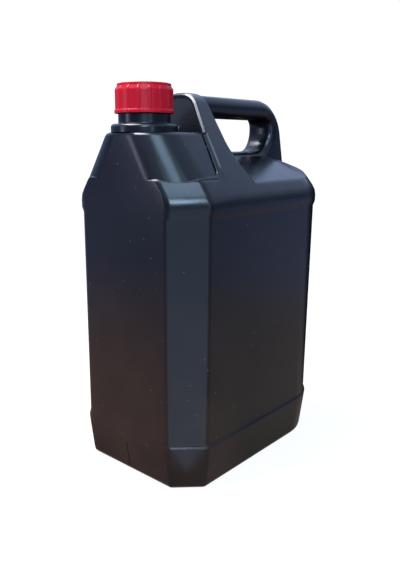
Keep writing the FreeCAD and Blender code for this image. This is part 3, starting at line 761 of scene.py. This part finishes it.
def painted_floor(settings):
    """Matt emulsion paint, rolled: plain, pale, with a barely seen stipple.

    Far from the can it glows as the room does, so that no horizon shows; the can mirrors a
    dimmer painted glow, with a painted lit bay before its front corner and painted shade beside
    and behind it.
    """
    material, tree, at = new_material("matt_paint_and_glow")
    paint = add(tree, "ShaderNodeBsdfPrincipled", {
        "Base Color": opaque(settings.floor), "Roughness": 0.8, "Specular IOR Level": 0.2,
        "Normal": bump(tree, noise(tree, at, 4, 1.0), 0.1, 0.1)})
    away = add(tree, "ShaderNodeVectorMath", {0: at}, operation="LENGTH").outputs["Value"]
    far = ramp(tree, away, 0.35, 0.9, smooth=True)      # metres from the can's middle
    apart = add(tree, "ShaderNodeSeparateXYZ", {"Vector": at}).outputs
    # painted shade: beside the can the mirrored floor takes the black card's colour
    beside = blend(tree, ramp(tree, apart["Y"], 0.0, -0.12), opaque(settings.flag),
                   opaque(settings.shade))
    close = blend(tree, ramp(tree, apart["X"], -0.2, 0.0), opaque(settings.near), beside)
    plain = blend(tree, far, close, opaque(settings.far))
    corner = add(tree, "ShaderNodeVectorMath", {0: at, 1: (FRONT, -HALF_WIDTH, 0.0)},
                 operation="SUBTRACT").outputs[0]
    # painted lit bay before the front corner, and below it a painted dark card behind the can
    lit = blend(tree, toward(tree, corner, BAY_BEARING, 0.8, 0.97), plain, opaque(settings.bay))
    dark = blend(tree, toward(tree, at, CARD_BEARING, 0.55, 0.9), lit, opaque(settings.flag))
    # the floor glows with this painted light for every ray but the camera's
    mirrored = add(tree, "ShaderNodeEmission", {"Color": dark, "Strength": settings.mirrored})
    white = add(tree, "ShaderNodeEmission", {"Color": opaque((1, 1, 1)), "Strength": settings.sky})
    seen = add(tree, "ShaderNodeMixShader", {0: ramp(tree, far, 0.0, 1.0, low=0.85),
                                             1: paint.outputs[0], 2: white.outputs[0]})
    direct = add(tree, "ShaderNodeLightPath").outputs["Is Camera Ray"]
    both = add(tree, "ShaderNodeMixShader", {0: direct, 1: mirrored.outputs[0],
                                             2: seen.outputs[0]})
    add(tree, "ShaderNodeOutputMaterial", {"Surface": both.outputs[0]})
    return material


# ---------------------------------------------------------------- operators

def dress(piece, body, material):
    """Gives a piece its material and its body."""
    piece.data.materials.append(material)
    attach(piece, body)
    return piece


class JERRYCAN_OT_bottle(bpy.types.Operator):
    """Blow-moulded bottle and its handle"""
    bl_idname = "jerrycan.bottle"
    bl_label = "Bottle"

    def execute(self, context):
        plastic = blow_moulded_hdpe(context.scene.jerrycan_bottle)
        for node in ("bottle", "handle"):
            piece = place(welded(node, node + "_shell"), node + "_shell")
            if node == "bottle":
                weigh_normals(piece)
            dress(piece, "bottle", plastic)
            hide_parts(node)
        return {"FINISHED"}


class JERRYCAN_OT_neck(bpy.types.Operator):
    """Collar, threaded neck and the lug beside them"""
    bl_idname = "jerrycan.neck"
    bl_label = "Neck"

    def execute(self, context):
        plastic = bpy.data.objects["bottle_shell"].data.materials[0]
        inner = COLLAR_R - WALL
        # Each corner: radius, height, and where it is rounded the rounding's radius.
        ring = lathe(eased([
            (inner, PLATFORM), (COLLAR_R, PLATFORM), (COLLAR_R, COLLAR_TOP, 2.4 * MM),
            (NECK_R, COLLAR_TOP, 0.9 * MM), (NECK_R, PLAIN_TOP, 0.5 * MM),
            (ROOT_R, PLAIN_TOP + STEP_DROP), (ROOT_R, RIM, 0.9 * MM), (MOUTH_R, RIM, 0.8 * MM),
            (MOUTH_R, COLLAR_TOP - WALL), (inner, COLLAR_TOP - WALL)], closed=True), closed=True)
        rib = thread_rib(ROOT_R, ROOT_R + THREAD_DEPTH, TURNS, 0)
        piece = place(merged("neck_shell", ring, rib), "neck_shell")
        dress(piece, "bottle", plastic)
        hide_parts("neck")
        lug = place(merged("collar_lug", collar_lug()), "collar_lug")
        dress(lug, "bottle", plastic)
        return {"FINISHED"}


class JERRYCAN_OT_shoulder(bpy.types.Operator):
    """Rim of the slanted panel, slope on the ledge, bead of the sunk panel and flare edge"""
    bl_idname = "jerrycan.shoulder"
    bl_label = "Shoulder details"

    def execute(self, context):
        plastic = bpy.data.objects["bottle_shell"].data.materials[0]
        beads = [detail(side) for side in (-1, 1) for detail in (panel_bead, flare_line)]
        for name, forms in (("panel_rim", [panel_rim()]), ("ledge_slope", ledge_slope()),
                            ("panel_beads", beads)):
            dress(place(merged(name, *forms), name), "bottle", plastic)
        return {"FINISHED"}


class JERRYCAN_OT_seam(bpy.types.Operator):
    """Mould seam over the handle, its rear leg and the roof"""
    bl_idname = "jerrycan.seam"
    bl_label = "Mould seam"

    def execute(self, context):
        settings = context.scene.jerrycan_bottle
        shell = bpy.data.objects["handle_shell"]
        cut = bmesh.new()
        cut.from_mesh(shell.data)
        bmesh.ops.bisect_plane(cut, geom=cut.verts[:] + cut.edges[:] + cut.faces[:], dist=1e-7,
                               plane_co=(0, SEAM_Y, 0), plane_no=(0, 1, 0), clear_inner=True,
                               clear_outer=True)
        tree = shell_tree(shell)
        for vert in [v for v in cut.verts if v.co.z < SEAM_FOOT or v.co.x < SEAM_FRONT
                     or not on_outside(tree, v.co)]:
            cut.verts.remove(vert)
        mesh = bpy.data.meshes.new("mould_seam")
        cut.to_mesh(mesh)
        cut.free()
        piece = place(mesh, "mould_seam")
        grown(piece, seam_tree(), {
            "Width": settings.seam_width, "Height": settings.seam_height, "Step": SEAM_STEP,
            "Material": shell.data.materials[0]})
        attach(piece, "bottle")
        return {"FINISHED"}


class JERRYCAN_OT_cap(bpy.types.Operator):
    """Screw cap with its thread and a ring of grip ribs"""
    bl_idname = "jerrycan.cap"
    bl_label = "Screw cap"

    def execute(self, context):
        settings = context.scene.jerrycan_cap
        plastic = moulded_polypropylene(settings)
        dish = CAP_TOP - DISH_DEEP
        # Each corner: radius, height, and where it is rounded the rounding's radius.
        shell = lathe(eased([
            (0, dish), (DISH_R, dish, 0.6 * MM), (DISH_RIM_R, CAP_TOP, 0.5 * MM),
            (TOP_R, CAP_TOP, 0.75 * MM), (TOP_R, CAP_SLOPE_TOP, 0.5 * MM),
            (SKIRT_R, CAP_SLOPE_LOW, 1.5 * MM), (SKIRT_R, CAP_BEAD_TOP, 0.4 * MM),
            (CAP_BEAD_R, CAP_BEAD_TOP - CAP_BEAD_SLOPE, 0.7 * MM), (CAP_BEAD_R, CAP_LOW, 0.5 * MM),
            (BORE_R, CAP_LOW, 0.3 * MM), (BORE_R, BORE_TOP), (SEAT_R, SEAT), (0, SEAT)]),
            closed=False)
        rib = thread_rib(BORE_R, ROOT_R + THREAD_GAP, CAP_TURNS, CAP_THREAD_START)
        piece = dress(place(merged("cap_shell", shell, rib), "cap_shell"), "cap",
                      plastic)
        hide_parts("screw_cap")

        path = eased([(RIB_R, RIB_LOW), (RIB_R, RIB_BEND, RIB_ROUND), (RIB_TOP_R, RIB_TOP)])
        line = bpy.data.meshes.new("cap_ribs")
        line.from_pydata([(x, 0, z) for x, z in path],
                         [(i, i + 1) for i in range(len(path) - 1)], [])
        ribs = grown(place(line, "cap_ribs"), rib_tree(), {
            "Count": settings.ribs, "Width": settings.rib_width, "Height": settings.rib_height,
            "Centre X": NECK_X, "Turn": math.pi / settings.ribs, "Material": plastic})
        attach(ribs, "cap")
        return {"FINISHED"}


class JERRYCAN_OT_liner(bpy.types.Operator):
    """Foam disc that seals the cap on the neck"""
    bl_idname = "jerrycan.liner"
    bl_label = "Cap liner"

    def execute(self, context):
        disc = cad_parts["cap_liner"]
        disc.data.materials.clear()
        disc.data.materials.append(polyethylene_foam(context.scene.jerrycan_cap))
        return {"FINISHED"}


def softbox(name, bearing, rise, distance, width, height, radiance, code, level):
    """An area light that faces the middle of the can, as bright all over as its radiance says."""
    a, e = math.radians(bearing), math.radians(rise)
    away = Vector((math.cos(a) * math.cos(e), math.sin(a) * math.cos(e), math.sin(e)))
    lamp = bpy.data.lights.new(name, "AREA")
    lamp.shape, lamp.size, lamp.size_y, lamp.color = "RECTANGLE", width, height, linear(code)
    lamp.energy = radiance * level * math.pi * width * height
    box = bpy.data.objects.new(name, lamp)
    bpy.context.scene.collection.objects.link(box)
    box.matrix_world = (Matrix.Translation(away * distance + Vector((0, 0, CAD_BOX[1].z / 2)))
                        @ away.to_track_quat("Z", "Y").to_matrix().to_4x4())


class JERRYCAN_OT_stage(bpy.types.Operator):
    """Pale floor, soft studio light and the camera"""
    bl_idname = "jerrycan.stage"
    bl_label = "Stage"

    def execute(self, context):
        scene, settings = context.scene, context.scene.jerrycan_stage
        mesh = bpy.data.meshes.new("floor")
        mesh.from_pydata([(x * FLOOR_REACH, y * FLOOR_REACH, 0)
                          for x, y in ((-1, -1), (1, -1), (1, 1), (-1, 1))], [], [(0, 1, 2, 3)])
        floor = place(mesh, "floor")
        mesh.materials.append(painted_floor(settings))

        scene.world = pale_room(settings)
        for box in SOFTBOXES:
            softbox(*box, settings.light)

        lens = bpy.data.cameras.new("camera")
        lens.lens = settings.lens
        lens.sensor_width = SENSOR
        lens.shift_x, lens.shift_y = CAMERA_SHIFT
        lens.clip_start, lens.clip_end = CAMERA_CLIP
        camera = bpy.data.objects.new("camera", lens)
        scene.collection.objects.link(camera)
        yaw, dip, roll = (math.radians(a) for a in CAMERA_TURN)
        ahead = Vector((math.cos(yaw) * math.cos(dip), math.sin(yaw) * math.cos(dip),
                        -math.sin(dip)))
        camera.matrix_world = (Matrix.Translation(CAMERA_AT)
                               @ ahead.to_track_quat("-Z", "Y").to_matrix().to_4x4()
                               @ Matrix.Rotation(roll, 4, "Z"))
        scene.camera = camera
        scene.view_settings.view_transform = "Standard"
        return {"FINISHED"}


class JERRYCAN_PT_panel(bpy.types.Panel):
    """Sizes, colours and build buttons of the jerrycan"""
    bl_idname = "JERRYCAN_PT_panel"
    bl_label = "Jerrycan"
    bl_space_type = "VIEW_3D"
    bl_region_type = "UI"
    bl_category = "Jerrycan"

    def draw(self, context):
        for group in GROUPS:
            box = self.layout.box()
            box.label(text=group.__doc__)
            owner = getattr(context.scene, GROUPS[group])
            for name in group.__annotations__:
                box.prop(owner, name)
        for operator in OPERATORS:
            self.layout.operator(operator.bl_idname)


GROUPS = {JerrycanBottle: "jerrycan_bottle", JerrycanCap: "jerrycan_cap",
          JerrycanStage: "jerrycan_stage"}
OPERATORS = (JERRYCAN_OT_bottle, JERRYCAN_OT_neck, JERRYCAN_OT_shoulder, JERRYCAN_OT_seam,
             JERRYCAN_OT_cap, JERRYCAN_OT_liner, JERRYCAN_OT_stage)
CLASSES = tuple(GROUPS) + OPERATORS + (JERRYCAN_PT_panel,)


def register():
    for cls in CLASSES:
        bpy.utils.register_class(cls)
    for group, name in GROUPS.items():
        setattr(bpy.types.Scene, name, bpy.props.PointerProperty(type=group))


def unregister():
    for name in GROUPS.values():
        delattr(bpy.types.Scene, name)
    for cls in reversed(CLASSES):
        bpy.utils.unregister_class(cls)


def main():
    register()
    bpy.ops.jerrycan.bottle()
    bpy.ops.jerrycan.neck()
    bpy.ops.jerrycan.shoulder()
    bpy.ops.jerrycan.seam()
    bpy.ops.jerrycan.cap()
    bpy.ops.jerrycan.liner()
    bpy.ops.jerrycan.stage()


if __name__ == "__main__":
    main()
